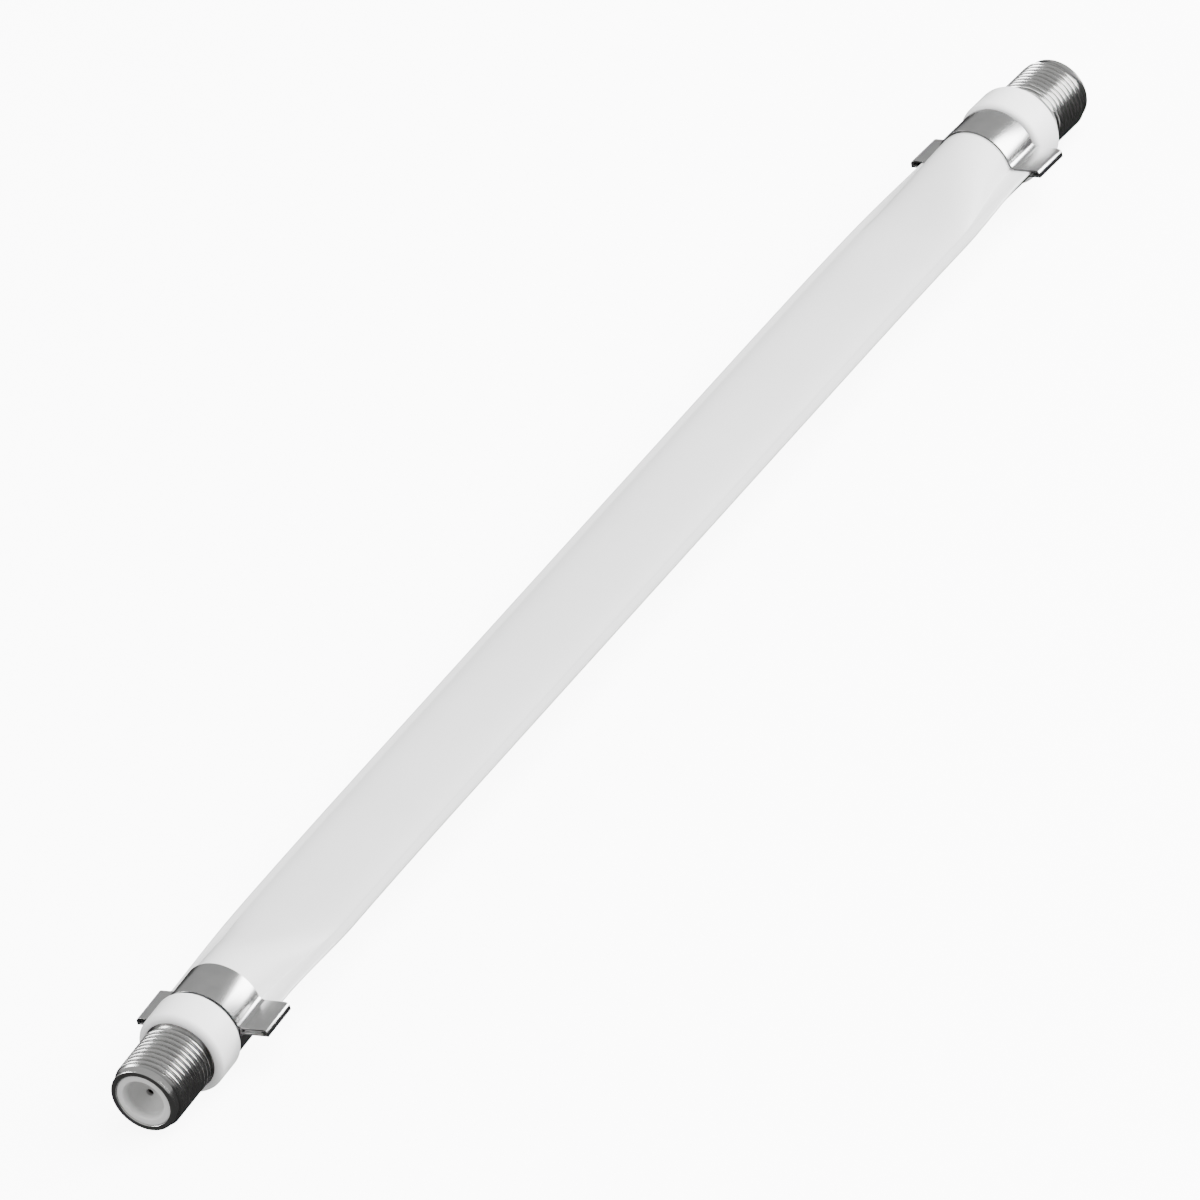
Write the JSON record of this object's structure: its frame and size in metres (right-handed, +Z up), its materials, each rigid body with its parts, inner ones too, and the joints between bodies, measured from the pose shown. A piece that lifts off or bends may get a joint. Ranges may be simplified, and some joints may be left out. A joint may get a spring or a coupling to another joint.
{
  "type": "flat coaxial feed-through lead",
  "caption": "Short flat white coaxial strip with a threaded female F port clamped to each end, for passing an aerial feed through a closed window or door.",
  "frame": {"origin": "on the surface that the lead lies on, under the middle of its strip", "axes": "+X along the strip from the near port to the far port, +Y across the strip, +Z up, normal to the flat strip"},
  "size_m": [0.2344, 0.0188, 0.0119],
  "materials": {
    "nickel_plating": "nickel plated, bright",
    "clamp_steel": "tinned, bright",
    "ring_plastic": "white, smooth",
    "insulator_plastic": "white, satin",
    "jacket_vinyl": "white, satin",
    "shield_foil": "bright foil",
    "dielectric_plastic": "natural, satin",
    "conductor_copper": "bare copper",
    "spring_bronze": "bright"
  },
  "bodies": {
    "near_half": {"near_port_body": "nickel_plating", "near_collar": "ring_plastic", "near_port_insulator": "insulator_plastic", "near_tail_insulator": "insulator_plastic", "near_center_contact": "spring_bronze", "near_upper_clamp": "clamp_steel", "near_lower_clamp": "clamp_steel", "near_upper_jacket": "jacket_vinyl", "near_lower_jacket": "jacket_vinyl", "near_shield": "shield_foil", "near_dielectric": "dielectric_plastic", "near_conductor": "conductor_copper"},
    "far_half": {"far_port_body": "nickel_plating", "far_collar": "ring_plastic", "far_port_insulator": "insulator_plastic", "far_tail_insulator": "insulator_plastic", "far_center_contact": "spring_bronze", "far_upper_clamp": "clamp_steel", "far_lower_clamp": "clamp_steel", "far_upper_jacket": "jacket_vinyl", "far_lower_jacket": "jacket_vinyl", "far_shield": "shield_foil", "far_dielectric": "dielectric_plastic", "far_conductor": "conductor_copper"}
  },
  "joints": [
    {"name": "strip_bend", "type": "hinge", "parent": "near_half", "child": "far_half", "pos_m": [0, 0, 0.00746], "axis": [0, 1, 0], "range_deg": [-90, 90]}
  ]
}
